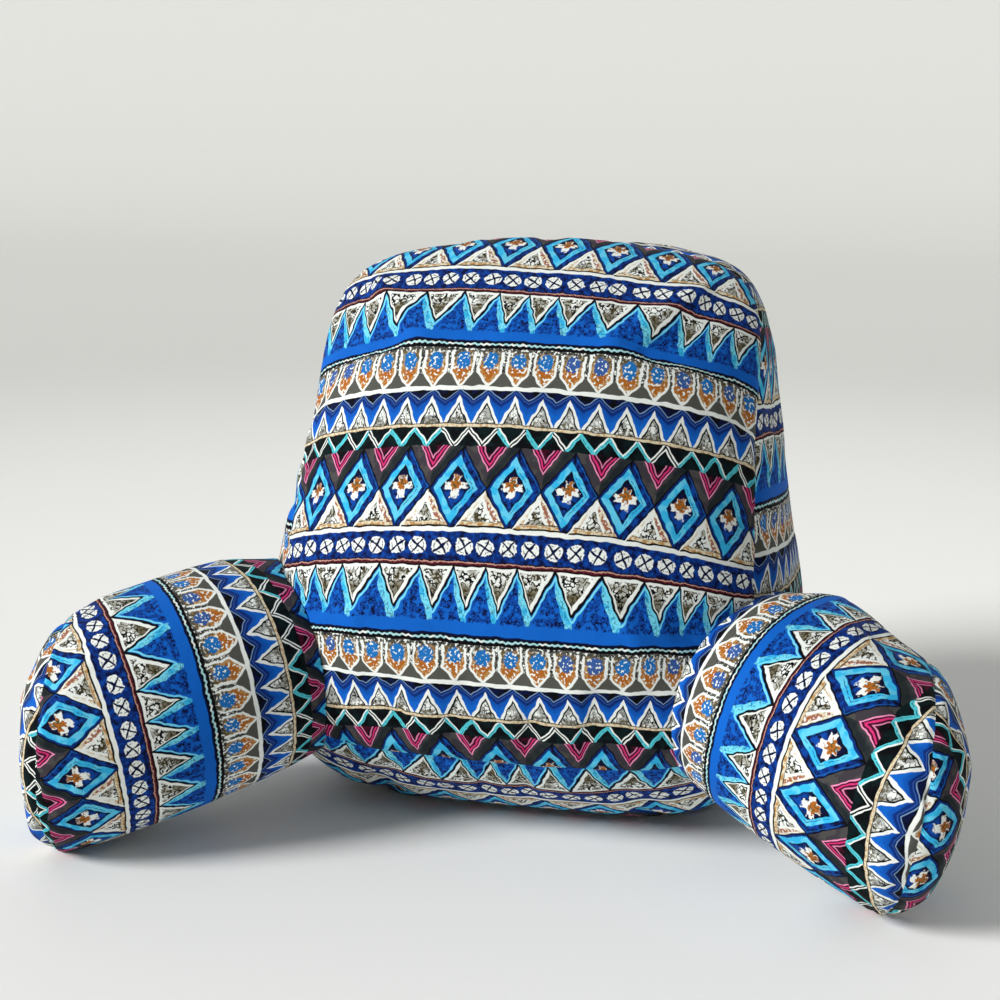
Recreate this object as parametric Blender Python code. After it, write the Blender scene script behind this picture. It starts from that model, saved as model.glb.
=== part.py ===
"""Reading pillow with arms: a reclined boxed back cushion with two stuffed arms sewn to its lower sides."""

from math import pi, radians, tau

import bpy
import numpy as np
from mathutils import Vector
from mathutils.bvhtree import BVHTree

# Sizes are in metres and angles in degrees. +X is the sitter's left, +Z is up, the sitter faces -Y.

# Front panel of the back: its seam runs round a rounded, slightly waisted outline.
HALF_WIDTH_FOOT = 0.214
HALF_WIDTH_MIDDLE = 0.1812
HALF_WIDTH_TOP = 0.1943
CORNER_POWER = 4.3
PANEL_LENGTH = 0.4345
SEAM_FOOT_Y = -0.125
SEAM_FOOT_Z = 0.0718
LEAN_FOOT = 18.5
LEAN_GAIN = 16.5
CURL = 38.1
CURL_FROM = 0.72
CROWN = 0.0812
CROWN_POWER = 0.743

# Boxing strip round the back, and its rear panel.
DEPTH_FOOT = 0.285
DEPTH_TOP = 0.1134
BULGE_LOW = 0.0344
BULGE_HIGH = 0.0
BULGE_TOP = 0.012
BULGE_UNDER = 0.0822
REAR_SHARE = 0.948
REAR_CROWN = 0.0315

# Arms: a curved tube that lies on its lower side, with a domed end panel.
ROOT_X = 0.2010
ROOT_Y = -0.0643
ROOT_LIFT = 0.0517
SINK = 0.005
SECTION_POWER = 2.2
ARM_SIZES = (
    # share of the length, half width, half height
    (0.0, 0.1003, 0.0792),
    (0.5, 0.0965, 0.0889),
    (1.0, 0.1000, 0.0908),
)
ARMS = (
    # name, side, length of the tube, splay at the root, outward turn along it
    ("arm_left", 1, 0.116, 43.1, 31.4),
    ("arm_right", -1, 0.1546, 36.1, 38.0),
)
# The end seam is cut slantwise: the sleeve is longer on the inner side and at the top.
ARM_ENDS = {
    # share of the length at the seam, slant across, slant upward, rise of the domed end panel
    "arm_left": (0.985, 0.355, 0.17, 0.040),
    "arm_right": (1.05, 0.04, -0.03, 0.024),
}
SLANT_FROM = 0.2

# The arm's root runs straight on and ends against the back's cloth. Only its outer side, which
# would pass the back by, narrows towards a point inside it.
COLLAR = 0.10
OUTER_SHARE = 0.6
ROOT_AIM = (0.105, 0.03, 0.12)
ROOT_SHRINK = 0.64

SEAM_DEPTH = 0.0025
GAP = 0.0010
NEAR_ROWS = 12
BACK_STEPS = 88
ARM_STEPS = 56


def part_colour(name, colour, roughness):
    material = bpy.data.materials.new(name)
    material.use_nodes = True
    shader = material.node_tree.nodes["Principled BSDF"]
    shader.inputs["Base Color"].default_value = (*colour, 1.0)
    shader.inputs["Roughness"].default_value = roughness
    return material


def closed_skin(name, first_pole, rings, last_pole, material):
    """One solid from rings of points, closed at both ends on a pole."""
    steps = len(rings[0])
    points = [tuple(p) for ring in rings for p in ring]
    faces = []
    for row in range(len(rings) - 1):
        for k in range(steps):
            a = row * steps + k
            b = row * steps + (k + 1) % steps
            faces.append((a, b, b + steps, a + steps))
    start = len(points)
    points.append(tuple(first_pole))
    points.append(tuple(last_pole))
    last_row = (len(rings) - 1) * steps
    for k in range(steps):
        faces.append(((k + 1) % steps, k, start))
        faces.append((last_row + k, last_row + (k + 1) % steps, start + 1))
    mesh = bpy.data.meshes.new(name)
    mesh.from_pydata(points, [], faces)
    mesh.validate()
    part = bpy.data.objects.new(name, mesh)
    bpy.context.scene.collection.objects.link(part)
    part.data.materials.append(material)
    return part


def face_outward(part):
    bpy.context.view_layer.objects.active = part
    part.select_set(True)
    bpy.ops.object.mode_set(mode="EDIT")
    bpy.ops.mesh.select_all(action="SELECT")
    bpy.ops.mesh.normals_make_consistent(inside=False)
    bpy.ops.object.mode_set(mode="OBJECT")
    bpy.ops.object.shade_smooth()
    part.data.set_sharp_from_angle(angle=radians(50))
    part.select_set(False)


# ---- back

LEAN_ROWS = np.linspace(0.0, 1.0, 201)
LEAN = np.radians(LEAN_FOOT + LEAN_GAIN * LEAN_ROWS
                  + CURL * np.clip((LEAN_ROWS - CURL_FROM) / (1 - CURL_FROM), 0, 1) ** 2)


def summed(slopes, step):
    """Running sum of the slopes along a line of even steps, from 0."""
    return np.concatenate([[0], np.cumsum((slopes[1:] + slopes[:-1]) / 2 * step)])


PANEL_Y = SEAM_FOOT_Y + summed(np.sin(LEAN), PANEL_LENGTH / 200)
PANEL_Z = SEAM_FOOT_Z + summed(np.cos(LEAN), PANEL_LENGTH / 200)


def signed_power(value, power):
    return np.sign(value) * np.abs(value) ** power


def outline(scale, angle):
    """Distance across and share of the height on a ring of the panel: its seam at 1, rounder further in."""
    power = 2 + (CORNER_POWER - 2) * scale ** 2
    height = 0.5 + scale * 0.5 * signed_power(np.sin(angle), 2 / power)
    half = (HALF_WIDTH_FOOT * (1 - height) * (1 - 2 * height)
            + HALF_WIDTH_MIDDLE * 4 * height * (1 - height)
            + HALF_WIDTH_TOP * height * (2 * height - 1))
    return scale * half * signed_power(np.cos(angle), 2 / power), height


def front_ring(scale, angle):
    across, height = outline(scale, angle)
    rise = CROWN * (1 - scale ** 2.2) ** CROWN_POWER
    lean = np.interp(height, LEAN_ROWS, LEAN)
    y = np.interp(height, LEAN_ROWS, PANEL_Y) - rise * np.cos(lean)
    z = np.interp(height, LEAN_ROWS, PANEL_Z) + rise * np.sin(lean)
    return np.stack([across, y, z], axis=-1)


def rear_ring(scale, angle):
    across, height = outline(scale, angle)
    low_y, high_y = SEAM_FOOT_Y + DEPTH_FOOT, PANEL_Y[-1] + DEPTH_TOP
    low_z, high_z = SEAM_FOOT_Z - 0.005, PANEL_Z[-1] - 0.01
    y = low_y + (high_y - low_y) * height + REAR_CROWN * (1 - scale ** 2.2) ** 0.75
    return np.stack([across * REAR_SHARE, y, low_z + (high_z - low_z) * height], axis=-1)


def boxing_ring(share, angle):
    """A row of the boxing strip, from the front seam at 0 to the rear seam at 1."""
    across, height = outline(1.0, angle)
    run = np.roll(across, -1) - np.roll(across, 1)
    climb = (np.roll(height, -1) - np.roll(height, 1)) * PANEL_LENGTH
    length = np.hypot(run, climb)
    out_x, out_z = climb / length, -run / length
    out = np.stack([out_x, 0.15 * out_z, out_z], axis=-1)
    out /= np.linalg.norm(out, axis=1)[:, None]
    swell = np.sin(pi * share) ** 0.8
    under_swell = np.sin(pi * share ** 1.3) ** 0.7
    under = np.clip(-out_z, 0, 1) ** 2
    over = np.clip(out_z, 0, 1) ** 2
    bulge = (BULGE_LOW + (BULGE_HIGH - BULGE_LOW) * height) * swell * (1 - under - over)
    bulge += BULGE_UNDER * under_swell * under + BULGE_TOP * swell * over
    front, rear = front_ring(1.0, angle), rear_ring(1.0, angle)
    return front + (rear - front) * share + out * bulge[:, None]


def drawn_in(ring, centre):
    """A seam row pulled into the filling."""
    inward = np.asarray(centre) - ring
    return ring + inward / np.linalg.norm(inward, axis=1)[:, None] * SEAM_DEPTH


def on_table(ring):
    ring = np.array(ring)
    ring[:, 2] = np.maximum(ring[:, 2], 0.0)
    return ring


def make_back(material):
    angle = np.linspace(0, tau, BACK_STEPS, endpoint=False)
    middle = (0.0, 0.05, 0.22)
    rings = [front_ring(scale, angle) for scale in (0.14, 0.3, 0.46, 0.61, 0.74, 0.85, 0.93, 0.978)]
    rings.append(drawn_in(front_ring(1.0, angle), middle))
    rings += [boxing_ring(share, angle) for share in (0.03, 0.12, 0.26, 0.42, 0.58, 0.74, 0.88, 0.97)]
    rings.append(drawn_in(rear_ring(1.0, angle), middle))
    rings += [rear_ring(scale, angle) for scale in (0.97, 0.88, 0.72, 0.5, 0.25)]
    rings = [on_table(ring) for ring in rings]
    front_pole = front_ring(0.0, np.array([0.0]))[0]
    rear_pole = rear_ring(0.0, np.array([0.0]))[0]
    part = closed_skin("back", front_pole, rings, rear_pole, material)
    face_outward(part)
    return part


# ---- arms

def arm_size(share):
    """Half width and half height, on a curve through the three rows of sizes."""
    rows = np.array(ARM_SIZES)
    share = min(share, 1.0)
    return (np.polyval(np.polyfit(rows[:, 0], rows[:, 1], 2), share),
            np.polyval(np.polyfit(rows[:, 0], rows[:, 2], 2), share))


def arm_line(side, length, splay, turn, share):
    """Centre point and direction of the tube in plan."""
    shares = np.linspace(-0.5, 1.3, 91)
    heading = np.radians(splay + turn * shares)
    step = length * (shares[1] - shares[0])
    x = summed(np.sin(heading), step)
    y = summed(np.cos(heading), step)
    x -= np.interp(0, shares, x)
    y -= np.interp(0, shares, y)
    now = np.interp(share, shares, heading)
    centre = (side * (ROOT_X + np.interp(share, shares, x)), ROOT_Y - np.interp(share, shares, y))
    return centre, (side * np.sin(now), -np.cos(now))


def arm_ring(arm, share, scale, push, angle):
    """A cross-section of the tube, scaled about its middle and pushed along the arm."""
    (x, y), (along_x, along_y) = arm_line(*arm[1:], share)
    half_width, half_height = arm_size(share)
    middle_z = half_height - SINK + ROOT_LIFT * max(1 - share, 0.0)
    sideways = half_width * scale * signed_power(np.cos(angle), 2 / SECTION_POWER)
    upward = half_height * scale * signed_power(np.sin(angle), 2 / SECTION_POWER)
    reach, slant_across, slant_up, _ = ARM_ENDS[arm[0]]
    grown = np.clip((share - SLANT_FROM) / (reach - SLANT_FROM), 0, 1) ** 1.5
    push = push + grown * (slant_up * upward - slant_across * arm[1] * sideways)
    return on_table(np.stack([
        x + along_x * push - along_y * sideways,
        y + along_y * push + along_x * sideways,
        middle_z + upward,
    ], axis=-1))


def root_ring(arm, scale, angle, back_tree):
    """Where the lines of the tube meet the back, held off by the gap. They run straight on, and on
    the outer side, where they would miss the back, they are drawn in towards a point inside it."""
    side = arm[1]
    centre = arm_ring(arm, -0.5, 0.0, 0.0, np.array([0.0]))[0]
    inner = np.array([side * ROOT_AIM[0], ROOT_AIM[1], ROOT_AIM[2]])
    drawn = arm_ring(arm, -0.5, ROOT_SHRINK * scale, 0.0, angle) + inner - centre
    outer = np.clip(side * scale * signed_power(np.cos(angle), 2 / SECTION_POWER) / OUTER_SHARE, 0, 1)
    outer = (outer * outer * (3 - 2 * outer))[:, None]
    aims = arm_ring(arm, -0.5, scale, 0.0, angle) * (1 - outer) + drawn * outer
    starts = arm_ring(arm, 0.32, scale, 0.0, angle)
    turns = arm_ring(arm, COLLAR, scale, 0.0, angle)
    landed = []
    for start, turn, aim in zip(map(Vector, starts), map(Vector, turns), map(Vector, aims)):
        spot, normal, _, _ = back_tree.ray_cast(start, (turn - start).normalized(), (turn - start).length)
        if spot is None:
            spot, normal, _, _ = back_tree.ray_cast(turn, (aim - turn).normalized())
        landed.append(spot + normal * GAP)
    return np.array([tuple(place) for place in landed])


def held_off(back_tree, rings):
    """The rings with each place that comes nearer to the back than the gap pushed clear of it."""
    grid = np.array(rings)
    thirds = (0.0, 1 / 3, 2 / 3)
    for _ in range(16):
        moves = np.zeros_like(grid)
        below = np.concatenate([grid[1:], grid[-1:]])
        for down in thirds:
            for along in thirds:
                row_mix = grid * (1 - down) + below * down
                points = row_mix * (1 - along) + np.roll(row_mix, -1, axis=1) * along
                for row in range(NEAR_ROWS):
                    for step in range(ARM_STEPS):
                        point = Vector(points[row, step])
                        spot, normal, _, distance = back_tree.find_nearest(point)
                        depth = GAP - (point - spot).dot(normal)
                        if depth <= 0 or distance > 0.05:
                            continue
                        push = np.array(normal * depth)
                        for place in ((row, step), (row + 1, step), (row, (step + 1) % ARM_STEPS),
                                      (row + 1, (step + 1) % ARM_STEPS)):
                            if np.dot(push, push) > np.dot(moves[place], moves[place]):
                                moves[place] = push
        if not moves.any():
            break
        grid = grid + moves
    return list(grid)


def make_arm(arm, back_tree, material):
    name = arm[0]
    angle = np.linspace(0, tau, ARM_STEPS, endpoint=False)
    reach, dome = ARM_ENDS[name][0], ARM_ENDS[name][3]
    steps = (0, 0.155, 0.333, 0.533, 0.722, 0.867, 0.955, 0.99)
    tube = [arm_ring(arm, COLLAR + (reach - COLLAR) * step, 1.0, 0.0, angle) for step in steps]
    seam = arm_ring(arm, reach, 1.0, 0.0, angle)
    tube.append(drawn_in(seam, seam.mean(axis=0)))
    for scale in (0.985, 0.94, 0.85, 0.7, 0.5, 0.25):
        tube.append(arm_ring(arm, reach, scale, dome * (1 - scale ** 2.2) ** 0.75, angle))
    tube = held_off(back_tree, tube)
    collar = tube[0]
    rings = [root_ring(arm, scale, angle, back_tree) for scale in (0.25, 0.5, 0.75, 0.92, 1.0)]
    root = rings[-1]
    for share in (0.1, 0.35, 0.7):
        rings.append(root + (collar - root) * share)
    rings = held_off(back_tree, rings + tube)
    pole = root_ring(arm, 0.0, np.array([0.0]), back_tree)[0]
    tip = arm_ring(arm, reach, 0.0, dome, np.array([0.0]))[0]
    part = closed_skin(name, pole, rings, tip, material)
    face_outward(part)
    return part


def main():
    for old in list(bpy.data.objects):
        bpy.data.objects.remove(old, do_unlink=True)
    colour, roughness = (0.14, 0.24, 0.5), 0.85
    back = make_back(part_colour("back_cloth", colour, roughness))
    graph = bpy.context.evaluated_depsgraph_get()
    back_tree = BVHTree.FromObject(back, graph)
    parts = [back]
    for arm in ARMS:
        parts.append(make_arm(arm, back_tree, part_colour(arm[0] + "_cloth", colour, roughness)))
    low = np.min([np.min([v.co[:] for v in part.data.vertices], axis=0) for part in parts], axis=0)
    high = np.max([np.max([v.co[:] for v in part.data.vertices], axis=0) for part in parts], axis=0)
    for part in parts:
        for vertex in part.data.vertices:
            vertex.co.x -= (low[0] + high[0]) / 2
            vertex.co.y -= (low[1] + high[1]) / 2
            vertex.co.z -= low[2]


main()
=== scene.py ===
import math
import bmesh
import bpy
import numpy as np
from mathutils import Matrix, Vector
from mathutils.bvhtree import BVHTree


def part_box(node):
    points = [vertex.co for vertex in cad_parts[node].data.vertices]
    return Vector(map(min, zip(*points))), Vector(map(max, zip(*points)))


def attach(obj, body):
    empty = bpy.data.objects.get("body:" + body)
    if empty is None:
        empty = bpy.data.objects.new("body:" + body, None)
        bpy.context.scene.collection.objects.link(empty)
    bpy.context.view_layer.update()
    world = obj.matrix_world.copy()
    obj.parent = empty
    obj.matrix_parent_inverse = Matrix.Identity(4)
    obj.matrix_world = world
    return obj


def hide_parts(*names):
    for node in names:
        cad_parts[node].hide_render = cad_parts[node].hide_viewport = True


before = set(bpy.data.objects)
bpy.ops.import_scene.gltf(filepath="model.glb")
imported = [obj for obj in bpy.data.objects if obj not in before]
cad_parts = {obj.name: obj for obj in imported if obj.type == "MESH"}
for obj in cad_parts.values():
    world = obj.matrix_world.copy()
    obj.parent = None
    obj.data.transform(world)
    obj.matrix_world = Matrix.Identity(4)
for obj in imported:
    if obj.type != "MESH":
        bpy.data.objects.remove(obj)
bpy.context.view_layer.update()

scene = bpy.context.scene
print("frame loaded")

# sizes in metres, angles in degrees; "across" runs to the sitter's left
crownRound = 2.2            # how flat a crown or a dome is in its middle
back = {
    "halfWidthFoot": 0.214, "halfWidthMiddle": 0.1812, "halfWidthTop": 0.1943, "cornerPower": 4.3,
    "panelLength": 0.4345, "footY": -0.125, "footZ": 0.0718,
    "leanFoot": 18.5, "leanGain": 16.5, "curl": 38.1, "curlFrom": 0.72,
    "crown": 0.0812, "crownPower": 0.743,
    "depthFoot": 0.285, "depthTop": 0.1134,
    "bulgeLow": 0.0344, "bulgeHigh": 0.0, "bulgeTop": 0.012, "bulgeUnder": 0.0822,
    "rearShare": 0.948, "rearCrown": 0.0315, "rearCrownPower": 0.75,
    "rearFootDrop": 0.005, "rearTopDrop": 0.01,
    "cells": 72, "depthCells": 30, "gather": 0.05,
}


def summed(slopes, step):
    return np.concatenate([[0], np.cumsum((slopes[1:] + slopes[:-1]) / 2 * step)])


# the side line of the front panel, which leans back and curls over at the top
rows = np.linspace(0, 1, 201)
curlShare = np.clip((rows - back["curlFrom"]) / (1 - back["curlFrom"]), 0, 1)
lean = np.radians(back["leanFoot"] + back["leanGain"] * rows + back["curl"] * curlShare ** 2)
panelY = back["footY"] + summed(np.sin(lean), back["panelLength"] / 200)
panelZ = back["footZ"] + summed(np.cos(lean), back["panelLength"] / 200)


def outlineAt(a, b, scale):
    # across and share of the height, for a place on the edge of a square of half side scale
    power = 2 + (back["cornerPower"] - 2) * scale ** 2
    big = np.maximum(np.maximum(np.abs(a), np.abs(b)), 1e-9)
    x, y = a / big, b / big
    norm = np.maximum((np.abs(x) ** power + np.abs(y) ** power) ** (1 / power), 1e-9)
    height = 0.5 + 0.5 * scale * y / norm
    half = (back["halfWidthFoot"] * (1 - height) * (1 - 2 * height)
            + back["halfWidthMiddle"] * 4 * height * (1 - height)
            + back["halfWidthTop"] * height * (2 * height - 1))
    return scale * half * x / norm, height


def squareScale(a, b):
    return np.maximum(np.abs(a), np.abs(b))


def frontPlace(a, b):
    scale = squareScale(a, b)
    across, height = outlineAt(a, b, scale)
    rise = back["crown"] * np.maximum(1 - scale ** crownRound, 0) ** back["crownPower"]
    tilt = np.interp(height, rows, lean)
    y = np.interp(height, rows, panelY) - rise * np.cos(tilt)
    z = np.interp(height, rows, panelZ) + rise * np.sin(tilt)
    return np.stack([across, y, z], axis=-1)


def rearPlace(a, b):
    scale = squareScale(a, b)
    across, height = outlineAt(a, b, scale)
    lowY, highY = back["footY"] + back["depthFoot"], panelY[-1] + back["depthTop"]
    lowZ, highZ = back["footZ"] - back["rearFootDrop"], panelZ[-1] - back["rearTopDrop"]
    rise = back["rearCrown"] * np.maximum(1 - scale ** crownRound, 0) ** back["rearCrownPower"]
    y = lowY + (highY - lowY) * height + rise
    return np.stack([across * back["rearShare"], y, lowZ + (highZ - lowZ) * height], axis=-1)


def stripPlace(a, b, share):
    # a place on the boxing strip, from the front seam at share 0 to the rear seam at 1
    angle = np.arctan2(b, a)
    ahead = outlineAt(np.cos(angle + 0.01), np.sin(angle + 0.01), 1.0)
    behind = outlineAt(np.cos(angle - 0.01), np.sin(angle - 0.01), 1.0)
    run, climb = ahead[0] - behind[0], (ahead[1] - behind[1]) * back["panelLength"]
    length = np.hypot(run, climb)
    outX, outZ = climb / length, -run / length
    out = np.stack([outX, 0.15 * outZ, outZ], axis=-1)
    out /= np.linalg.norm(out, axis=-1)[..., None]
    height = outlineAt(a, b, 1.0)[1]
    swell = np.sin(math.pi * share) ** 0.8
    underSwell = np.sin(math.pi * share ** 1.3) ** 0.7
    under, over = np.clip(-outZ, 0, 1) ** 2, np.clip(outZ, 0, 1) ** 2
    sideBulge = back["bulgeLow"] + (back["bulgeHigh"] - back["bulgeLow"]) * height
    bulge = sideBulge * swell * (1 - under - over)
    bulge = bulge + back["bulgeUnder"] * underSwell * under + back["bulgeTop"] * swell * over
    front, rear = frontPlace(a, b), rearPlace(a, b)
    return front + (rear - front) * share[..., None] + out * bulge[..., None]


def boxGrid(cells, depthCells):
    # a cube of side 2 cut into even cells; each face keeps the side of the cube it lies on
    bm = bmesh.new()
    bmesh.ops.create_cube(bm, size=2)
    flat = [e for e in bm.edges if abs(e.verts[0].co.z - e.verts[1].co.z) < 0.1]
    bmesh.ops.subdivide_edges(bm, edges=flat, cuts=cells - 1, use_grid_fill=True)
    deep = [e for e in bm.edges if abs(e.verts[0].co.z - e.verts[1].co.z) > 0.1]
    bmesh.ops.subdivide_edges(bm, edges=deep, cuts=depthCells - 1, use_grid_fill=True)
    middles = np.array([f.calc_center_median()[:] for f in bm.faces])
    axis = np.abs(middles).argmax(axis=1)
    return bm, np.where(np.take_along_axis(middles, axis[:, None], 1)[:, 0] > 0, axis + 3, axis), middles


onLeft, onTop, onRear, onRight, onBottom, onFront = 3, 4, 5, 0, 1, 2     # sides of that cube


def closer(places, gather):
    # even places from -1 to 1 drawn closer together towards both ends
    return (1 + gather) * places - gather * np.sign(places) * np.abs(places) ** 14


def pieceFrom(bm, name):
    mesh = bpy.data.meshes.new(name)
    bm.to_mesh(mesh)
    bm.free()
    piece = bpy.data.objects.new(name, mesh)
    scene.collection.objects.link(piece)
    return piece


def placedPiece(bm, places, name):
    places[:, 2] = np.maximum(places[:, 2], 0)
    for vertex, place in zip(bm.verts, places):
        vertex.co = place
    bmesh.ops.recalc_face_normals(bm, faces=bm.faces)
    if bm.calc_volume(signed=True) < 0:
        bmesh.ops.reverse_faces(bm, faces=bm.faces)
    return pieceFrom(bm, name)


def spots(piece):
    found = np.empty(len(piece.data.vertices) * 3, np.float32)
    piece.data.vertices.foreach_get("co", found)
    return found.reshape(-1, 3).astype(float)


def moveTo(piece, places):
    piece.data.vertices.foreach_set("co", places.astype(np.float32).ravel())
    piece.data.update()


filling = {
    "pressure": 4.0, "frames": 20,      # the cloth is blown up by its filling for this many steps
    "stretch": 12, "shear": 4, "bend": 0.2, "weight": 0.2, "quality": 5,
    "seamShrink": 0.14,                 # how much shorter the sewn edges are than the panels
    "spread": 40,                       # rounds of averaging that part the folds from the swelling
    "keepFolds": 0.75, "keepSwelling": 0.15, "mostMove": 0.005,
    "restsBelow": 0.0005,               # cloth this low rests on the floor and stays there
    "seamDepth": 0.0024,
}


def averaged(piece, moves, rounds):
    # each vertex's move levelled with those of its neighbours, again and again
    ends = np.empty(len(piece.data.edges) * 2, np.int32)
    piece.data.edges.foreach_get("vertices", ends)
    one, other = ends.reshape(-1, 2).T
    count = np.bincount(ends, minlength=len(moves))[:, None]
    for _ in range(rounds):
        total = np.stack([np.bincount(one, moves[other, k], len(moves))
                          + np.bincount(other, moves[one, k], len(moves)) for k in range(3)], axis=-1)
        moves = 0.5 * moves + 0.5 * total / count
    return moves


def filled(piece, seams, held):
    # blows the sewn cloth up with its filling, so that it puckers along the seams
    before = spots(piece)
    held = np.union1d(held, np.flatnonzero(before[:, 2] < filling["restsBelow"])).astype(int)
    for group, members in (("held", held), ("gathered", seams)):
        piece.vertex_groups.new(name=group).add([int(k) for k in members], 1.0, "REPLACE")
    sewn = piece.modifiers.new("filling", "CLOTH")
    sewn.settings.quality = filling["quality"]
    sewn.settings.mass = filling["weight"]
    sewn.settings.tension_stiffness = filling["stretch"]
    sewn.settings.compression_stiffness = filling["stretch"]
    sewn.settings.shear_stiffness = filling["shear"]
    sewn.settings.bending_stiffness = filling["bend"]
    sewn.settings.use_pressure = True
    sewn.settings.uniform_pressure_force = filling["pressure"]
    sewn.settings.vertex_group_mass = "held"
    sewn.settings.vertex_group_shrink = "gathered"
    sewn.settings.shrink_max = filling["seamShrink"]
    sewn.settings.effector_weights.gravity = 0
    sewn.collision_settings.use_collision = False
    sewn.point_cache.frame_end = filling["frames"]
    for step in range(1, filling["frames"] + 1):
        scene.frame_set(step)
    blown = piece.evaluated_get(bpy.context.evaluated_depsgraph_get())
    after = np.empty(len(before) * 3, np.float32)
    blown.data.vertices.foreach_get("co", after)
    piece.modifiers.remove(sewn)
    piece.vertex_groups.clear()
    scene.frame_set(1)
    moves = after.reshape(-1, 3) - before
    swelling = averaged(piece, moves, filling["spread"])
    moves = (moves - swelling) * filling["keepFolds"] + swelling * filling["keepSwelling"]
    length = np.maximum(np.linalg.norm(moves, axis=1, keepdims=True), 1e-9)
    print(piece.name, "moved by", (length.mean() * 1000).round(2), "mm on average before the cap")
    moves *= np.minimum(1, filling["mostMove"] / length)
    moves[held] = 0
    before = before + moves
    moveTo(piece, before)
    normals = np.array([v.normal[:] for v in piece.data.vertices])
    before[seams] -= normals[seams] * filling["seamDepth"]
    before[:, 2] = np.maximum(before[:, 2], 0)
    moveTo(piece, before)


def printOn(piece, panelOfFace, drawnAt):
    # lays the printed cloth on each panel: drawnAt gives the print's place for every vertex, in mm
    corners = np.empty(len(piece.data.loops), np.int32)
    piece.data.loops.foreach_get("vertex_index", corners)
    panelOfCorner = np.repeat(panelOfFace, [p.loop_total for p in piece.data.polygons])
    places = np.zeros((len(corners), 2))
    for panel, table in drawnAt.items():
        here = panelOfCorner == panel
        places[here] = np.stack(table, axis=-1)[corners[here]] / 1000
    piece.data.uv_layers.new(name="print").data.foreach_set("uv", places.astype(np.float32).ravel())


# where the print lies on each panel, in mm: its start, and how much it is stretched
panelPrint = {
    "rear": {"across": 1.05, "up": 1.02, "from": -96}, "under": {"across": 1.02, "shift": 6, "from": 152},
    "sides": {"from": 205, "at": 290, "up": 0.87, "leftShift": 11, "rightShift": -27, "rightRise": 31},
    "top": {"from": 262}, "strip": 1.06,
}
# where the printed rows lie on the front panel: heights in mm above the bottom seam, at five places across
frontRows = {
    "across": (-160, -80, 0, 80, 160),
    "print": (-131.6, -103.5, -71, 0, 73.4, 101.5, 134, 205, 249),
    "height": ((34, 34.6, 35.2, 35.6, 37), (61.5, 60, 59.2, 60, 63), (92, 90.4, 88.6, 90, 95),
               (161.2, 162.2, 163.2, 162.8, 159), (235.6, 236.8, 236.6, 235.8, 235.6),
               (263, 264.8, 264.8, 264.4, 264.6), (300, 300.4, 299.6, 297.8, 299.2),
               (377, 370.8, 364.4, 362.6, 366), (421, 415, 408.4, 406.6, 410)),
    "acrossFlat": (-220, -150, -112, -73, 0, 92, 130, 163, 220),
    "acrossPrint": (-245, -154.4, -112.8, -71.2, 0, 95.2, 136.8, 178.4, 255),
}


def ramped(value, known, given):
    # straight lines through the known points, going on beyond the ends
    known, given = np.array(known, float), np.array(given, float)
    low = (value - known[0]) * (given[1] - given[0]) / (known[1] - known[0])
    high = (value - known[-1]) * (given[-1] - given[-2]) / (known[-1] - known[-2])
    return np.interp(value, known, given) + np.minimum(low, 0) + np.maximum(high, 0)


def frontPrint(across, height):
    lines = np.array([np.interp(across, frontRows["across"], line) for line in frontRows["height"]])
    up = np.array([ramped(h, lines[:, k], frontRows["print"]) for k, h in enumerate(height)])
    return ramped(across, frontRows["acrossFlat"], frontRows["acrossPrint"]), up


def makeBack():
    bm, panelOfFace, _ = boxGrid(back["cells"], back["depthCells"])
    cube = closer(np.array([v.co[:] for v in bm.verts]), back["gather"])
    a, b, depth = cube.T
    places = np.empty_like(cube)
    isFront, isRear = depth < -0.9999, depth > 0.9999
    isStrip = ~(isFront | isRear)
    share = (depth + 1) / 2
    places[isFront] = frontPlace(a[isFront], b[isFront])
    places[isRear] = rearPlace(a[isRear], b[isRear])
    places[isStrip] = stripPlace(a[isStrip], b[isStrip], share[isStrip])
    piece = placedPiece(bm, places, "backPillow")
    across, height = outlineAt(a, b, np.where(isStrip, 1.0, squareScale(a, b)))
    across, height = across * 1000, height * back["panelLength"] * 1000
    span = np.linalg.norm(rearPlace(a, b) - frontPlace(a, b), axis=-1) * share * 1000 * panelPrint["strip"]
    rear, under, sides, top = (panelPrint[k] for k in ("rear", "under", "sides", "top"))
    sideUp = sides["from"] + (height - sides["at"]) * sides["up"]
    printOn(piece, panelOfFace, {
        onFront: frontPrint(across, height),
        onRear: (-across * rear["across"], height * rear["up"] + rear["from"]),
        onLeft: (span + sides["leftShift"], sideUp),
        onRight: (sides["rightShift"] - span, sideUp + sides["rightRise"]),
        onTop: (across, top["from"] + span),
        onBottom: (under["shift"] - across * under["across"], under["from"] + span),
    })
    seams = np.flatnonzero((squareScale(a, b) > 0.9999) & (isFront | isRear))
    return piece, seams


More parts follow.
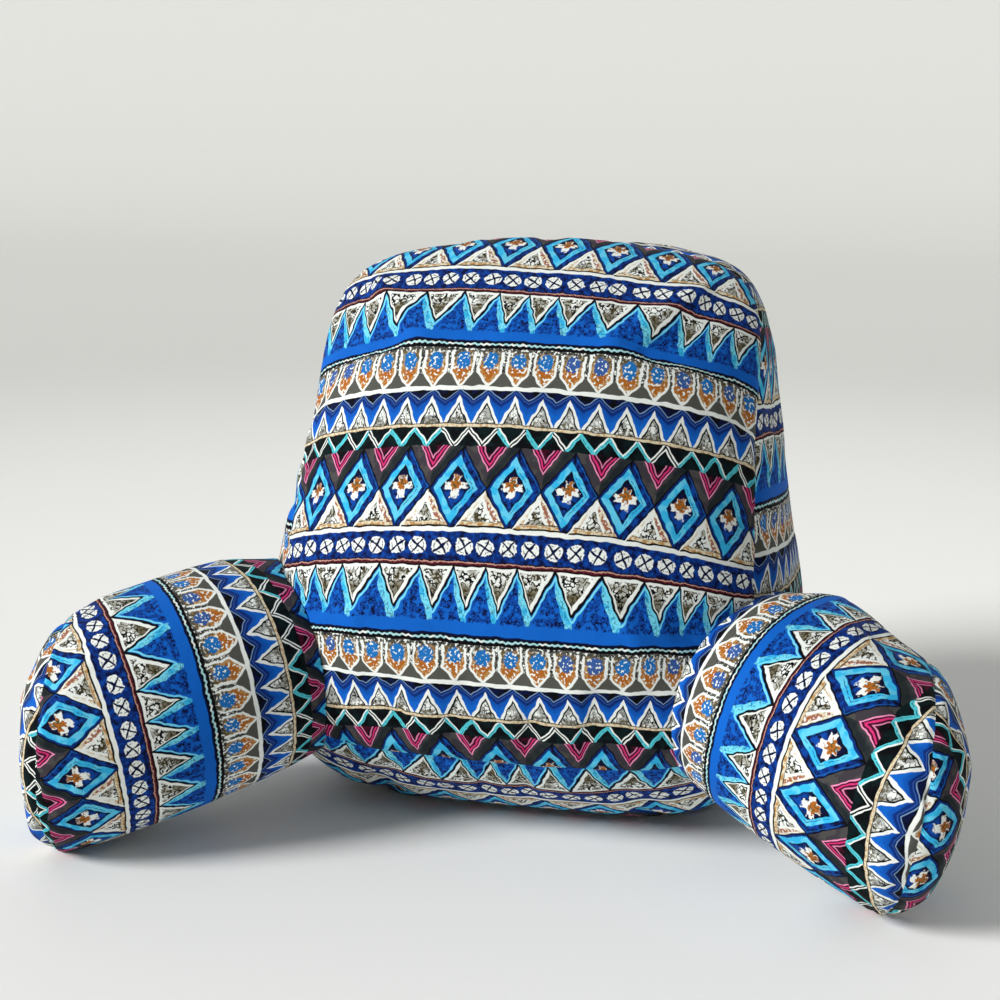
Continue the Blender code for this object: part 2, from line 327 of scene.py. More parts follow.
arms = {
    "rootX": 0.2010, "rootY": -0.0643, "rootLift": 0.0517, "sink": 0.005,
    "sectionPower": 2.2, "domePower": 0.75,
    "halfWidths": (0.1003, 0.0965, 0.1000), "halfHeights": (0.0792, 0.0889, 0.0908),
    "cells": 32, "depthCells": 48, "rootRows": 6, "gather": 0.04,
    # the root runs straight on from "wellOut" to "behind", two shares of the arm's length; only its
    # outer side, past "outerShare" of the half width, narrows towards "rootAim" inside the back
    "wellOut": 0.32, "collarShare": 0.1, "behind": -0.5, "outerShare": 0.6,
    "rootAim": (0.105, 0.03, 0.12), "rootShrink": 0.64, "clear": 0.0003, "heldRows": 3,
    "slantFrom": 0.2, "slantPower": 1.5,
    # the sleeve ends at "reach" shares of the length; "skew" makes it longer on the inner side and
    # "tilt" longer at the top
    "leftArm": {"side": 1, "length": 0.116, "splay": 43.1, "turn": 31.4,
                "reach": 0.985, "skew": 0.355, "tilt": 0.17, "endDome": 0.040},
    "rightArm": {"side": -1, "length": 0.1546, "splay": 36.1, "turn": 38.0,
                 "reach": 1.05, "skew": 0.04, "tilt": -0.03, "endDome": 0.024},
}


def armSize(share):
    shares, share = (0, 0.5, 1), np.minimum(share, 1)
    return (np.polyval(np.polyfit(shares, arms["halfWidths"], 2), share),
            np.polyval(np.polyfit(shares, arms["halfHeights"], 2), share))


def armLine(arm, share):
    shares = np.linspace(-0.5, 1.3, 91)
    heading = np.radians(arm["splay"] + arm["turn"] * shares)
    step = arm["length"] * (shares[1] - shares[0])
    x, y = summed(np.sin(heading), step), summed(np.cos(heading), step)
    x = arms["rootX"] + np.interp(share, shares, x) - np.interp(0, shares, x)
    y = arms["rootY"] - np.interp(share, shares, y) + np.interp(0, shares, y)
    now = np.interp(share, shares, heading)
    return arm["side"] * x, y, arm["side"] * np.sin(now), -np.cos(now)


def slant(arm, share, across, up):
    # how much farther along the arm a place lies because its end is cut slantwise
    halfWidth, halfHeight = armSize(share)
    begins = arms["slantFrom"]
    grown = np.clip((share - begins) / (arm["reach"] - begins), 0, 1) ** arms["slantPower"]
    return grown * (arm["tilt"] * halfHeight * up - arm["skew"] * arm["side"] * halfWidth * across)


def armPlace(arm, share, across, up, push):
    # a place in the arm's cross-section, across and up from -1 to 1, pushed along the arm
    x, y, alongX, alongY = armLine(arm, share)
    halfWidth, halfHeight = armSize(share)
    push = push + slant(arm, share, across, up)
    middle = halfHeight - arms["sink"] + arms["rootLift"] * np.maximum(1 - share, 0)
    return np.stack([
        x + alongX * push - alongY * halfWidth * across,
        y + alongY * push + alongX * halfWidth * across,
        np.maximum(middle + halfHeight * up, 0),
    ], axis=-1)


def treeOf(piece):
    bm = bmesh.new()
    bm.from_mesh(piece.data)
    tree = BVHTree.FromBMesh(bm)
    bm.free()
    return tree


def ontoBack(tree, starts, turns, goals, gap):
    # where paths from the starts over the turns to the goals first meet the back's cloth
    landed = []
    for start, turn, goal in zip(map(Vector, starts), map(Vector, turns), map(Vector, goals)):
        spot, normal, _, _ = tree.ray_cast(start, (turn - start).normalized(), (turn - start).length)
        if spot is None:
            spot, normal, _, _ = tree.ray_cast(turn, (goal - turn).normalized())
        landed.append(spot + normal * gap if spot else goal)
    return np.array([tuple(p) for p in landed])


def heldOff(tree, places, gap, reach=0.05):
    for _ in range(3):
        for k, place in enumerate(places):
            point = Vector(place)
            spot, normal, _, distance = tree.find_nearest(point)
            inside = gap - (point - spot).dot(normal)
            if inside > 0 and distance < reach:
                places[k] = point + normal * inside
    return places


# how the print wraps round each arm, in mm, from the angle round the sleeve (0 on its outer side,
# rising over the top) and the distance down from the end: "q" up the print is a start, its change
# with the angle's cosine and sine, then the same three for each mm down; "u" along the stripes is a
# start, then the change with the angle, its cosine and the distance. "eased" is how far the print is
# stretched near the end, "end" the end panel's start, stretch and slide.
sleevePrint = {
    "leftArm": {"q": (58.2, -18.9, -21.7, -1.221, 0.4965, 0.0122), "u": (-134.1, 88.56, 12.45, -0.105),
                "eased": 0.81, "end": (14.0, 1.25, 20)},
    "rightArm": {"q": (17.7, -28.6, -16.7, -1.125, 0.296, 0.062), "u": (257.8, -94.27, -15.64, 0.0),
                 "eased": 1.0, "end": (62.0, 0.9, 20)},
}


def makeArm(name, tree):
    arm = arms[name]
    bm, panelOfFace, middles = boxGrid(arms["cells"], arms["depthCells"])
    cube = np.array([v.co[:] for v in bm.verts])
    cube[:, :2] = closer(cube[:, :2], arms["gather"])
    a, b, depth = cube.T
    scale = squareScale(a, b)
    big, power = np.maximum(scale, 1e-9), arms["sectionPower"]
    norm = np.maximum((np.abs(a / big) ** power + np.abs(b / big) ** power) ** (1 / power), 1e-9)
    across, up = scale * a / big / norm, scale * b / big / norm
    row = np.round((depth + 1) / 2 * arms["depthCells"]).astype(int)
    rootRows = arms["rootRows"]
    sleeve = np.clip((row - rootRows) / (arms["depthCells"] - rootRows), 0, 1)
    sleeve = (1 + arms["gather"]) * sleeve - arms["gather"] * sleeve ** 14
    share = arms["collarShare"] + (arm["reach"] - arms["collarShare"]) * sleeve
    atEnd = row == arms["depthCells"]
    push = np.where(atEnd, arm["endDome"] * np.maximum(1 - scale ** crownRound, 0) ** arms["domePower"], 0)
    places = armPlace(arm, share, across, up, push)
    # the root: straight on into the back's cloth, but drawn in on the outer side, which would miss it
    nearRoot = row < rootRows
    aimPoint = np.array([arm["side"] * arms["rootAim"][0], *arms["rootAim"][1:]])
    shrunk = armPlace(arm, arms["behind"], across * arms["rootShrink"], up * arms["rootShrink"], 0.0)
    drawnIn = aimPoint + shrunk - armPlace(arm, arms["behind"], 0.0, 0.0, 0.0)
    outer = np.clip(arm["side"] * across / arms["outerShare"], 0, 1)[:, None]
    outer = outer * outer * (3 - 2 * outer)
    aims = armPlace(arm, arms["behind"], across, up, 0.0) * (1 - outer) + drawnIn * outer
    collar = armPlace(arm, arms["collarShare"], across, up, 0.0)
    wellOut = armPlace(arm, arms["wellOut"], across, up, 0.0)
    landed = ontoBack(tree, wellOut[nearRoot], collar[nearRoot], aims[nearRoot], arms["clear"])
    part = (row[nearRoot] / rootRows)[:, None]
    places[nearRoot] = landed + (collar[nearRoot] - landed) * part
    near = share < 0.6
    places[near] = heldOff(tree, places[near], arms["clear"])
    piece = placedPiece(bm, places, name)
    # the print: sleeve in two halves that meet in a seam underneath, then the end panel
    side = arm["side"]
    turn = np.arctan2(up, side * across)
    farTurn = np.where(turn < 0, turn + 2 * math.pi, turn)
    down = ((1 - share) * arm["length"] - slant(arm, share, across, up)) * 1000
    down[nearRoot] = ((1 - arms["collarShare"]) * arm["length"]
                      + np.linalg.norm(places - collar, axis=-1)[nearRoot]) * 1000
    q, u = sleevePrint[name]["q"], sleevePrint[name]["u"]

    def wrapped(angle):
        c, s = np.cos(angle), np.sin(angle)
        along = q[0] + q[1] * c + q[2] * s + down * (q[3] + q[4] * c + q[5] * s)
        return (u[0] + u[1] * angle + u[2] * c + u[3] * down,
                np.where(along > 0, along * sleevePrint[name]["eased"], along))

    isEnd = (panelOfFace == onRear) | (panelOfFace == onFront)
    nearHalf, farHalf = 6, 7
    panelOfFace = np.where(isEnd, panelOfFace, np.where(middles[:, 0] * side < 0, farHalf, nearHalf))
    halfWidth, halfHeight = (1000 * size for size in armSize(1.0))
    endFrom, endScale, endSlide = sleevePrint[name]["end"]
    printOn(piece, panelOfFace, {
        nearHalf: wrapped(turn), farHalf: wrapped(farTurn), onFront: wrapped(turn),
        onRear: (-up * halfHeight - endSlide, endFrom + endScale * (1 + side * across) * halfWidth),
    })
    seams = np.flatnonzero(atEnd & (scale > 0.9999))
    return piece, seams, np.flatnonzero(row < arms["heldRows"])


clothPrint = {              # lengths in mm
    "repeatUp": 205.0,      # height of the design before it comes again
    "repeatSlide": 9.2,     # how far each lower repeat slides to the left
    "edge": 0.35,           # softness of a printed edge
    "wander": 1.0,          # how far a drawn line strays
    "diamondPitch": 41.6, "trianglePitch": 20.8, "toothPitch": 27.7, "rosettePitch": 16.64,
    "thread": 0.8,
}
dyes = {                    # as seen, from 0 to 255
    "white": (238, 242, 236), "cream": (222, 210, 180), "tan": (184, 140, 84), "orange": (172, 100, 34),
    "rust": (150, 72, 40), "olive": (86, 76, 44), "grey": (84, 84, 78), "taupe": (60, 56, 62),
    "black": (3, 5, 10), "darkGreen": (6, 28, 30), "inkBlue": (4, 16, 58), "navy": (8, 44, 116),
    "deepRoyal": (10, 70, 160), "royal": (14, 98, 196), "midBlue": (30, 112, 184), "sky": (54, 180, 230),
    "paleSky": (118, 216, 240), "turquoise": (84, 198, 210), "pink": (214, 50, 118),
    "palePink": (238, 144, 184), "maroon": (62, 6, 30), "brick": (80, 20, 30), "rose": (190, 144, 132),
    "slateBlue": (56, 92, 158), "paleLine": (132, 162, 198),
}


def linearDye(dye):
    return tuple(((c / 255 + 0.055) / 1.055) ** 2.4 for c in dyes[dye]) + (1.0,)


class Mark:
    # a number that changes over the cloth: plain sums on it add the Math nodes

    def __init__(self, cloth, socket):
        self.cloth, self.socket = cloth, socket

    def math(self, operation, *values, clamp=False):
        return self.cloth.node("ShaderNodeMath", {"operation": operation, "use_clamp": clamp}, values)

    def __add__(self, other):
        return self.math("ADD", self, other)

    def __sub__(self, other):
        return self.math("SUBTRACT", self, other)

    def __rsub__(self, other):
        return self.math("SUBTRACT", other, self)

    def __mul__(self, other):
        return self.math("MULTIPLY", self, other)

    def __truediv__(self, other):
        return self.math("DIVIDE", self, other)

    def __abs__(self):
        return self.math("ABSOLUTE", self)

    __radd__, __rmul__ = __add__, __mul__

    def floor(self):
        return self.math("FLOOR", self)

    def fraction(self):
        return self.math("FRACT", self)

    def sine(self):
        return self.math("SINE", self)

    def least(self, other):
        return self.math("MINIMUM", self, other)

    def most(self, other):
        return self.math("MAXIMUM", self, other)

    def below(self, limit, soft=None):
        # 1 where the number is below the limit, 0 above it
        soft = soft or clothPrint["edge"]
        return self.math("MULTIPLY_ADD", self, -1 / soft, limit / soft + 0.5, clamp=True)

    def above(self, limit, soft=None):
        soft = soft or clothPrint["edge"]
        return self.math("MULTIPLY_ADD", self, 1 / soft, 0.5 - limit / soft, clamp=True)

    def within(self, low, high, soft=None):
        return abs(self - (low + high) / 2).below((high - low) / 2, soft)

    def nearest(self, pitch, middle):
        # signed distance to the nearest of the marks that stand a pitch apart
        return (((self - middle) / pitch + 0.5).fraction() - 0.5) * pitch


class Cloth:
    # the nodes that draw the print, in mm across and up the cloth

    def __init__(self, name):
        self.material = bpy.data.materials.new(name)
        self.material.use_nodes = True
        self.tree = self.material.node_tree
        self.shader = self.tree.nodes["Principled BSDF"]

    def node(self, kind, settings, values, output=0):
        made = self.tree.nodes.new(kind)
        for key, value in settings.items():
            setattr(made, key, value)
        pairs = values.items() if isinstance(values, dict) else enumerate(values)
        for key, value in pairs:
            if isinstance(value, Mark):
                self.tree.links.new(value.socket, made.inputs[key])
            else:
                made.inputs[key].default_value = value
        return Mark(self, made.outputs[output])

    def noise(self, size, detail=1.0, away=0.0):
        # soft grain, about as wide as size
        spot = self.node("ShaderNodeVectorMath", {"operation": "MULTIPLY_ADD"},
                         (self.place, (1000 / size, 1000 / size, 0), (away, away * 0.7, 0)))
        return self.node("ShaderNodeTexNoise", {"noise_dimensions": "2D"},
                         {"Vector": spot, "Scale": 1.0, "Detail": detail})

    def chance(self, number):
        return self.node("ShaderNodeTexWhiteNoise", {"noise_dimensions": "1D"}, {"W": number})

    def paint(self, under, over, where):
        dyed = [linearDye(dye) if isinstance(dye, str) else dye for dye in (under, over)]
        sockets = {0: where, 6: dyed[0], 7: dyed[1]}
        return self.node("ShaderNodeMix", {"data_type": "RGBA"}, sockets, output=2)


def drawPrint(cloth):
    paint = cloth.paint
    cloth.place = cloth.node("ShaderNodeUVMap", {"uv_map": "print"}, ())
    rawAcross = cloth.node("ShaderNodeSeparateXYZ", {}, (cloth.place,), output=0) * 1000.0
    rawUp = cloth.node("ShaderNodeSeparateXYZ", {}, (cloth.place,), output=1) * 1000.0
    stray = clothPrint["wander"]
    across = rawAcross + (cloth.noise(8.0, 1.0, 17.0) - 0.5) * (2.8 * stray)
    up = rawUp + (cloth.noise(10.0, 1.0, 3.0) - 0.5) * (2.2 * stray)
    repeat = (up / clothPrint["repeatUp"]).floor()
    v = up - repeat * clothPrint["repeatUp"]
    u = across - repeat * clothPrint["repeatSlide"]
    curl = cloth.noise(3.6, 1.0, 40.0)
    scribble = abs(curl - 0.5).below(0.055, 0.04)
    thin = abs(curl - 0.5).below(0.035, 0.03)
    fine = cloth.noise(2.3, 1.0, 60.0)
    blotch = cloth.noise(9.0, 2.0, 90.0)
    grain = cloth.noise(4.2, 2.0, 130.0)

    # shared fills
    navyMottle = paint("inkBlue", "navy", grain.above(0.42, 0.1))
    navyMottle = paint(navyMottle, "deepRoyal", grain.above(0.6, 0.1) * 0.8)
    whiteScribble = paint("white", "black", abs(curl - 0.5).below(0.075, 0.04))
    whiteScribble = paint(whiteScribble, "olive", blotch.above(0.52, 0.1) * 0.6)

    # diamonds with a flower, triangles between their feet
    pitch = clothPrint["diamondPitch"]
    upright = u - (v - 29.0) * 0.07
    d = upright.nearest(pitch, 12.0)
    gap = upright.nearest(pitch, 12.0 + pitch / 2)
    edge = abs(d) / 20.8 + abs(v - 29.2) / 29.2
    ring = abs(d + 1.7) / 16.6 + abs(v - 28.6) / 23.6
    heart = abs(d + 1.5) / 10.9 + abs(v - 28.8) / 15.6
    ground = paint("taupe", "grey", blotch.above(0.52, 0.1) * 0.5)
    ground = paint(ground, "darkGreen", (ring.within(1.15, 1.62, 0.25) * gap.above(0.0)) * 0.75)
    feet = paint("cream", "white", grain.above(0.5, 0.1))
    footEdge = abs(gap) / 17.6 + (v - 3.4) / 23.4
    crumbs = footEdge.within(0.64, 0.9, 0.05) * fine.above(0.46, 0.06)
    feet = paint(feet, "rust", gap.above(1.0) * crumbs * 0.9)
    crumbs = footEdge.within(0.66, 0.8, 0.05) * fine.below(0.5, 0.06)
    feet = paint(feet, "tan", gap.below(0.0) * crumbs * 0.8)
    feet = paint(feet, "olive", v.within(5.4, 6.3, 0.4) * fine.above(0.4, 0.05))
    feet = paint(feet, paint("cream", "tan", grain.above(0.5, 0.1)), v.below(5.2))
    knot = abs(gap + 1.0) / 7.4 + (v - 5.8) / 14.0
    feet = paint(feet, "white", knot.below(1.28, 0.06) * v.above(6.2))
    feet = paint(feet, whiteScribble, knot.below(1.0, 0.08) * v.above(6.0))
    feet = paint(feet, "white", footEdge.within(0.9, 1.02, 0.04) * gap.below(0.0))
    feet = paint(feet, "black", footEdge.above(1.0, 0.04))
    feet = paint(feet, "black", v.below(3.0))
    diamonds = paint(ground, feet, v.below(27.0))
    diamonds = paint(diamonds, "black", edge.below(1.03, 0.02))
    flank = edge.below(0.985, 0.02) * d.above(1.0, 2.0)
    diamonds = paint(diamonds, navyMottle, flank)
    hairline = edge.within(0.915, 0.94, 0.015) * d.above(1.5)
    diamonds = paint(diamonds, "midBlue", hairline * v.above(26.0) * 0.8)
    diamonds = paint(diamonds, "white", edge.within(1.045, 1.085, 0.02) * d.above(1.0) * v.below(27.5))
    diamonds = paint(diamonds, "navy", ring.within(0.98, 1.12, 0.04) * d.below(0.0))
    sky = paint("sky", "paleSky", blotch.above(0.5, 0.1) * 0.6)
    sky = paint(sky, "inkBlue", ring.within(0.80, 0.83, 0.02) * d.above(0.0) * fine.above(0.45, 0.05))
    diamonds = paint(diamonds, sky, ring.below(1.0, 0.03))
    inner = paint("inkBlue", "deepRoyal", v.below(27.0, 6.0) * grain.above(0.42, 0.1))
    inner = paint(inner, "black", heart.above(0.84, 0.1) * 0.6)
    diamonds = paint(diamonds, inner, heart.below(1.04, 0.05))
    leftBy, upBy = d + 1.2, v - 31.0
    petals = (abs(leftBy) / 7.8).most(abs(upBy + 0.6) / 2.6)
    petals = petals.least((abs(leftBy) / 3.0).most(abs(upBy + 1.0) / 7.2))
    diamonds = paint(diamonds, "white", (petals + (fine - 0.5) * 0.7).below(1.0, 0.15))
    stamen = (abs(leftBy) / 5.0).most(abs(upBy - 1.0) / 1.6)
    stamen = stamen.least((abs(leftBy) / 2.4).most(abs(upBy - 1.4) / 5.0)) + (fine - 0.5) * 1.4
    diamonds = paint(diamonds, paint("orange", "olive", fine.above(0.55, 0.1)), stamen.below(0.95, 0.2))

    # pink chevrons that hang between the diamonds
    hang = gap + 0.6
    point = (58.6 - v) / 18.0 + abs(hang) / 11.2
    pinks = paint("maroon", "palePink", point.within(0.91, 1.01, 0.04))
    pinks = paint(pinks, "pink", point.within(0.68, 0.80, 0.04))
    pinks = paint(pinks, "palePink", point.within(0.44, 0.54, 0.04) * 0.8)
    pinks = paint(pinks, paint("maroon", "black", blotch.above(0.45, 0.1)), point.below(0.42, 0.04))
    diamonds = paint(diamonds, pinks, point.below(1.02, 0.03) * v.above(30.0))

    # crossed zigzag over black
    pitch = clothPrint["trianglePitch"]
    hop = u.nearest(pitch, -4.4)
    stripe = v - 71.8 + abs(hop) * (12.4 / (pitch / 2))
    leg = ((u + 4.4) / (pitch / 2)).floor()
    luck = cloth.chance(leg + repeat * 7.0)
    lattice = paint("black", "darkGreen", blotch.above(0.5, 0.15) * 0.8)
    lattice = paint(lattice, "turquoise", stripe.within(-3.0, 0.4) * luck.above(0.4, 0.01))
    lattice = paint(lattice, "white", stripe.within(-3.0, -1.4) * luck.below(0.4, 0.01))
    lattice = paint(lattice, paint("white", "turquoise", luck.above(0.8, 0.01)), stripe.within(0.3, 1.9))
    hairline = stripe.within(-1.5, -0.9) * fine.above(0.5, 0.05)
    lattice = paint(lattice, "inkBlue", hairline * luck.above(0.4, 0.01))

    # scribbled triangles under a royal zigzag
    cone = abs(u.nearest(pitch, 6.0)) / 10.4 + (v - 74.8) / 21.0
    fall = (100.0 - v) + abs(hop) * 0.75
    peaks = paint("royal", "deepRoyal", fall.below(17.0, 3.0) * 0.6)
    peaks = paint(peaks, "navy", fall.below(13.0, 1.6))
    peaks = paint(peaks, "slateBlue", fall.within(9.4, 10.2, 0.4) * 0.8)
    peaks = paint(peaks, paint("inkBlue", "black", blotch.above(0.5, 0.1)), fall.below(8.2, 0.6))
    peaks = paint(peaks, "paleLine", fall.within(6.9, 7.8, 0.3) * 0.85)
    peaks = paint(peaks, "white", cone.below(1.0, 0.04))
    peaks = paint(peaks, "black", cone.below(0.775, 0.03))
    coneFill = paint(paint("white", "grey", blotch.above(0.5, 0.1) * 0.6), "black", thin)
    coneFill = paint(coneFill, "olive", v.below(79.0, 2.0) * fine.above(0.5, 0.1) * 0.8)
    peaks = paint(peaks, coneFill, cone.below(0.66, 0.04))

    # a row of shields
    s = u.nearest(pitch, 4.6)
    hull = (abs(s) + (fine - 0.5) * 1.6).most(abs(s) * 0.80 + (112.5 - v) * 0.7 + 1.6) - 9.2
    side = paint("grey", "black", scribble * v.above(112.0, 4.0) * 0.85)
    side = paint(side, "white", fine.above(0.6, 0.05) * v.above(113.0, 3.0))
    rim = hull.below(2.6) * hull.above(1.7) * fine.above(0.5, 0.05)
    shields = paint(side, "white", rim * v.above(112.0))
    shieldFill = paint(paint("grey", "tan", grain.above(0.5, 0.08) * 0.6), "white", fine.above(0.58, 0.05))
    shieldFill = paint(shieldFill, "olive", thin * 0.7)
    shieldFill = paint(shieldFill, "olive", blotch.above(0.5, 0.1) * 0.7)
    shieldFill = paint(shieldFill, "orange", (v + (fine - 0.5) * 8.0).below(116.2, 2.0))
    rim = hull.above(-4.2, 0.5) * v.below(122.0, 3.0)
    shieldFill = paint(shieldFill, "tan", rim * fine.above(0.42, 0.1) * 0.9)
    shieldFill = paint(shieldFill, "white", v.below(118.0, 1.0) * fine.above(0.62, 0.05))
    eye = (s / 5.4) * (s / 5.4) + ((v - 121.4) / 6.0) * ((v - 121.4) / 6.0) + (fine - 0.5) * 1.3
    luck = cloth.chance(((u - 4.6) / pitch + 0.5).floor() + repeat)
    blue = paint("midBlue", "slateBlue", luck.above(0.6, 0.01))
    blue = paint(blue, "white", fine.above(0.63, 0.05))
    shieldFill = paint(shieldFill, blue, eye.below(1.0, 0.2))
    shields = paint(shields, "white", hull.below(0.0))
    shields = paint(shields, shieldFill, hull.below(-1.9))
    shields = paint(shields, side, v.above(128.2, 1.0) * grain.above(0.4, 0.1))

    # a dark cord with a wavy white line
    wave = v - 134.0 - (u * (2 * math.pi / 4.6)).sine() * 0.4
    wavyLine = paint("white", "turquoise", blotch.above(0.45, 0.1) * 0.6)
    cord = paint("black", wavyLine, abs(wave).below(0.72, 0.4))
    cord = paint(cord, "inkBlue", v.above(136.0, 0.8))

    # skewed teeth
    pitch = clothPrint["toothPitch"]
    sway = (u * (2 * math.pi / (6 * pitch))).sine() * 5.5 + (cloth.chance(repeat) - 0.5) * 6.0
    tooth = (u + sway - 4.0) / pitch
    t = (tooth + 0.58).fraction()
    flank = (t / 0.58).least((1 - t) / 0.42)
    falling = t.above(0.58, 0.01)
    depth = (153.0 + flank * 28.0 - v) * 0.46       # how far inside the tooth, square to its sides
    hanging = paint(whiteScribble, "olive", v.below(169.0, 5.0) * (1 - scribble) * 0.85)
    hanging = paint(hanging, "white", depth.above(-2.9) * (1 - falling))
    hanging = paint(hanging, "white", depth.above(-1.9) * falling * 0.9)
    hanging = paint(hanging, "white", v.above(179.0))
    core = (144.8 + ((t - 0.02) / 0.52).least((0.86 - t) / 0.36) * 31.0 - v).above(0.0, 1.0)
    fill = paint("deepRoyal", "inkBlue", scribble)
    fill = paint(fill, "royal", grain.above(0.55, 0.08) * 0.9)
    teeth = paint(paint("sky", "paleSky", blotch.above(0.45, 0.15)), "sky", v.above(168.0, 6.0) * 0.5)
    teeth = paint(teeth, "inkBlue", (thin * falling) * 0.6)
    teeth = paint(teeth, "royal", 1 - falling)
    teeth = paint(teeth, fill, core)
    teeth = paint(teeth, "paleSky", depth.within(1.2, 2.4) * v.above(149.0))
    teeth = paint(teeth, "royal", (v + (fine - 0.5) * 3.0).below(145.6, 1.0))
    teeth = paint(teeth, hanging, depth.below(0.0))
    teeth = paint(teeth, "black", depth.within(-0.7, 0.9) * v.above(152.5, 1.0))

    # red line, then rosettes on navy
    ripple = v + (fine - 0.5) * 1.4
    red = paint("brick", "black", ripple.below(182.0) + ripple.above(184.2))
    red = paint(red, "rose", ripple.within(183.3, 184.1))
    pitch = clothPrint["rosettePitch"]
    which = ((u + 12.6) / pitch + 0.5).floor()
    luck = cloth.chance(which * 3.0 + repeat) - 0.5
    right, rise = u.nearest(pitch, -12.6) + luck * 2.4, v - 194.0
    disc = right * right / 44.0 + rise * rise / 32.0 + (fine - 0.5) * 0.7
    spun, raised = right + rise * luck * 0.7, rise - right * luck * 0.7
    blades = abs(abs(spun) - abs(raised)) + (curl - 0.5) * 1.6
    rosettes = paint(navyMottle, "white", disc.below(1.0, 0.1))
    rosettes = paint(rosettes, "inkBlue", disc.below(0.97, 0.1) * blades.below(1.05, 0.5))
    rosettes = paint(rosettes, "inkBlue", disc.within(0.5, 0.66, 0.08) * fine.above(0.5, 0.06) * 0.8)

    drawn = diamonds
    for low, high, band in ((58.6, 72.2, lattice), (74.8, 100.0, peaks), (103.0, 130.8, shields),
                            (130.8, 137.2, cord), (137.2, 181.0, teeth), (181.0, 184.9, red),
                            (184.9, 206.0, rosettes)):
        drawn = paint(drawn, band, v.within(low, high))
    drawn = paint(drawn, "black", v.within(71.9, 75.1))
    drawn = paint(drawn, paint("cream", "tan", fine.above(0.55, 0.05) * 0.7), v.within(72.5, 74.5))
    seamLine = abs(v.nearest(clothPrint["repeatUp"], 0.3)).below(1.5)
    drawn = paint(drawn, "white", v.within(99.9, 103.0) + seamLine)
    return drawn


def dressCloth(cloth, drawn):
    # faded and deeper patches of dye, then the fine weave and its dull sheen
    patches = cloth.noise(38.0, 2.0, 210.0)
    fading = cloth.node("ShaderNodeMix", {"data_type": "FLOAT"}, {0: patches, 2: 0.84, 3: 1.08})
    spun = cloth.noise(0.9, 1.0, 250.0)
    fading = fading * (spun * 0.3 + 0.85)
    dyed = cloth.node("ShaderNodeVectorMath", {"operation": "SCALE"}, {"Vector": drawn, "Scale": fading})
    cloth.tree.links.new(dyed.socket, cloth.shader.inputs["Base Color"])
    thread = 2 * math.pi / clothPrint["thread"]
    place = cloth.node("ShaderNodeSeparateXYZ", {}, (cloth.place,), output=0) * 1000.0
    rise = cloth.node("ShaderNodeSeparateXYZ", {}, (cloth.place,), output=1) * 1000.0
    weave = (place * thread).sine() * (rise * thread).sine()
    rumple = cloth.noise(16.0, 2.0, 170.0)
    height = weave * 0.06 + spun * 0.12 + rumple * 1.3
    bump = cloth.node("ShaderNodeBump", {}, {"Strength": 0.55, "Distance": 0.001, "Height": height})
    cloth.tree.links.new(bump.socket, cloth.shader.inputs["Normal"])
    rough = spun * 0.12 + 0.72
    cloth.tree.links.new(rough.socket, cloth.shader.inputs["Roughness"])
    for name, value in (("Specular IOR Level", 0.08), ("Sheen Weight", 0.02), ("Sheen Roughness", 0.4)):
        cloth.shader.inputs[name].default_value = value
    return cloth.material


backPillow, backSeams = makeBack()
filled(backPillow, backSeams, [])
print("back filled")
tree = treeOf(backPillow)
leftArm, leftSeams, leftRoot = makeArm("leftArm", tree)
rightArm, rightSeams, rightRoot = makeArm("rightArm", tree)
filled(leftArm, leftSeams, leftRoot)
filled(rightArm, rightSeams, rightRoot)
print("arms filled")

# the shapes were drawn about the middle of the back; the part stands on the middle of its own box
lowBack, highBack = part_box("back")
nowBack = spots(backPillow)
shift = np.array([lowBack[0] - nowBack[:, 0].min(), (lowBack[1] + highBack[1]) / 2
                  - (nowBack[:, 1].min() + nowBack[:, 1].max()) / 2, 0])
print("moved by", shift.round(5))
cloth = Cloth("printedCloth")
printed = dressCloth(cloth, drawPrint(cloth))
for piece, node in ((backPillow, "back"), (leftArm, "arm_left"), (rightArm, "arm_right")):
    moveTo(piece, spots(piece) + shift)
    piece.data.materials.append(printed)
    for polygon in piece.data.polygons:
        polygon.use_smooth = True
    fine = piece.modifiers.new("finer cloth", "SUBSURF")
    fine.levels = fine.render_levels = 1
    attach(piece, "root")
    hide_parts(node)
print("cloth printed")

view = {"azimuth": 12.6611, "elevation": 12.3503, "roll": 0.3281, "distance": 1.3158,
        "aimAcross": -0.02583, "aimUp": 0.2501, "lens": 59.546, "sensor": 36.0}


def makeCamera():
    az, el, roll = (math.radians(view[k]) for k in ("azimuth", "elevation", "roll"))
    away = Vector((math.sin(az) * math.cos(el), -math.cos(az) * math.cos(el), math.sin(el)))
    right = (-away).cross(Vector((0, 0, 1))).normalized()
    up = right.cross(-away)
    spot = Vector(shift) + right * view["aimAcross"] + Vector((0, 0, view["aimUp"])) + away * view["distance"]
    camera = bpy.data.objects.new("camera", bpy.data.cameras.new("camera"))
    scene.collection.objects.link(camera)
    rolledRight = right * math.cos(roll) + up * math.sin(roll)
    turned = Matrix((rolledRight, up * math.cos(roll) - right * math.sin(roll), away))
    camera.matrix_world = Matrix.Translation(spot) @ turned.transposed().to_4x4()
    camera.data.lens, camera.data.sensor_width = view["lens"], view["sensor"]
    scene.camera = camera


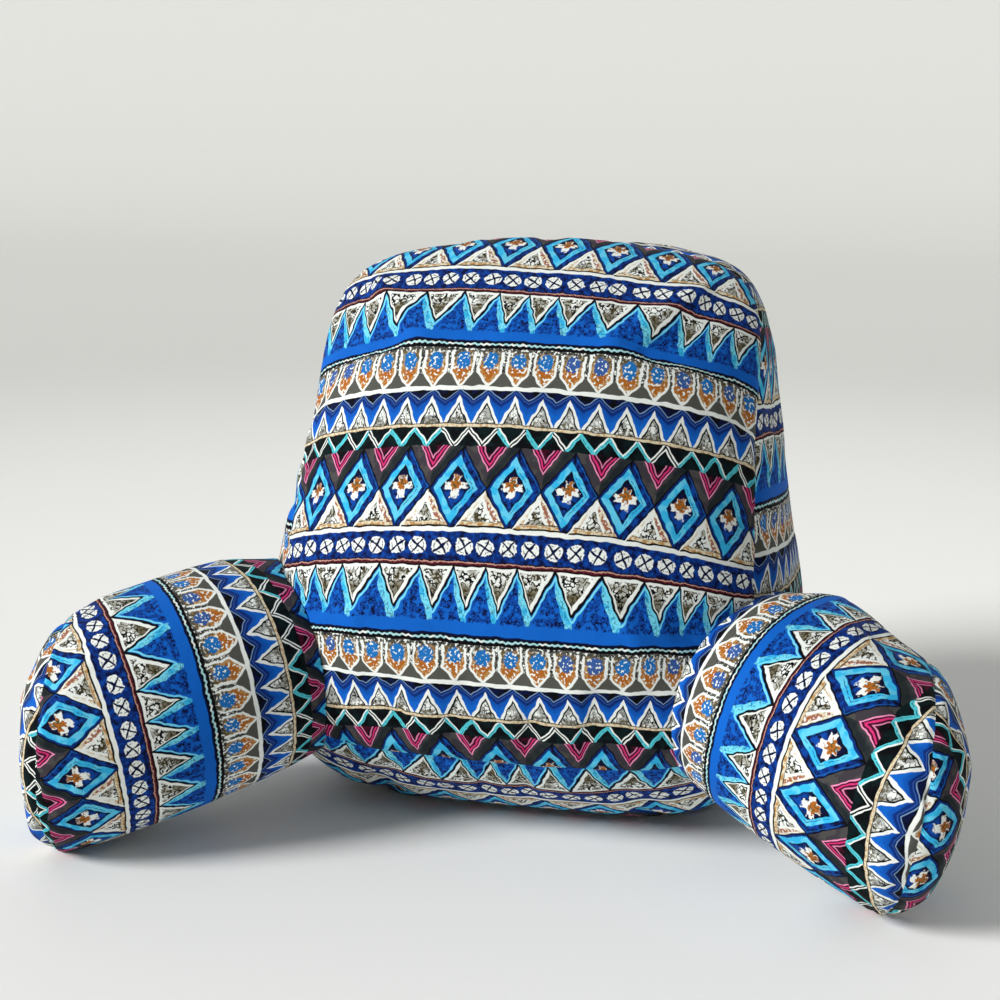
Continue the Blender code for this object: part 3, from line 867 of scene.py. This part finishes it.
studio = {
    # the floor's colour holds a painted pool of light: paler round the object (near) and greyer farther off
    # (far)
    "near": (0.95, 0.945, 0.92), "far": (0.67, 0.67, 0.64), "nearTo": 0.5, "farFrom": 3.0,
    "floorSize": 30.0, "sweepFrom": 7.0, "sweepRadius": 5.0, "wallHeight": 14.0,
    "world": (0.98, 1.0, 1.0), "worldStrength": 0.30,
    "sunFrom": (-0.84, -0.62, 0.62), "sunSpread": 20.0, "sunPower": 3.3,     # key light, upper left
}


def makeLight(name, place, power):
    light = bpy.data.objects.new(name, bpy.data.lights.new(name, "SUN"))
    scene.collection.objects.link(light)
    light.data.energy, light.location = power, place
    light.rotation_euler = Vector(place).to_track_quat("Z", "Y").to_euler()
    return light.data


def makeStudio():
    bm = bmesh.new()
    bmesh.ops.create_grid(bm, x_segments=1, y_segments=120, size=studio["floorSize"])
    begins, radius = studio["sweepFrom"], studio["sweepRadius"]
    for vertex in bm.verts:             # far behind, the floor sweeps up into a wall without an edge
        past = max(vertex.co.y - begins, 0)
        bend = min(past / radius, math.pi / 2)
        risen = min(past - bend * radius, studio["wallHeight"])
        if past > 0:
            vertex.co.y = begins + radius * math.sin(bend)
            vertex.co.z = radius * (1 - math.cos(bend)) + risen
    floor = pieceFrom(bm, "floor")
    for polygon in floor.data.polygons:
        polygon.use_smooth = True
    # painted pool of light: the floor is coloured paler round the object and fades to grey with distance
    pale = Cloth("paleFloorPaintedLight")
    away = pale.node("ShaderNodeVectorMath", {"operation": "LENGTH"},
                     (pale.node("ShaderNodeTexCoord", {}, (), output="Object"),), output=1)
    reach = pale.node("ShaderNodeMapRange", {"interpolation_type": "SMOOTHSTEP"},
                      (away, studio["nearTo"], studio["farFrom"], 0.0, 1.0))
    paintedLightPool = pale.paint((*studio["near"], 1), (*studio["far"], 1), reach)
    pale.tree.links.new(paintedLightPool.socket, pale.shader.inputs["Base Color"])
    pale.shader.inputs["Roughness"].default_value = 0.6
    pale.shader.inputs["Specular IOR Level"].default_value = 0.2
    floor.data.materials.append(pale.material)
    world = bpy.data.worlds.new("paleRoom")
    world.use_nodes = True
    sky = world.node_tree.nodes["Background"].inputs
    sky["Color"].default_value = (*studio["world"], 1)
    sky["Strength"].default_value = studio["worldStrength"]
    scene.world = world
    sun = makeLight("keyLight", studio["sunFrom"], studio["sunPower"])
    sun.angle = math.radians(studio["sunSpread"])
    scene.view_settings.view_transform = "Standard"


makeCamera()
makeStudio()
print("camera, floor and light set")
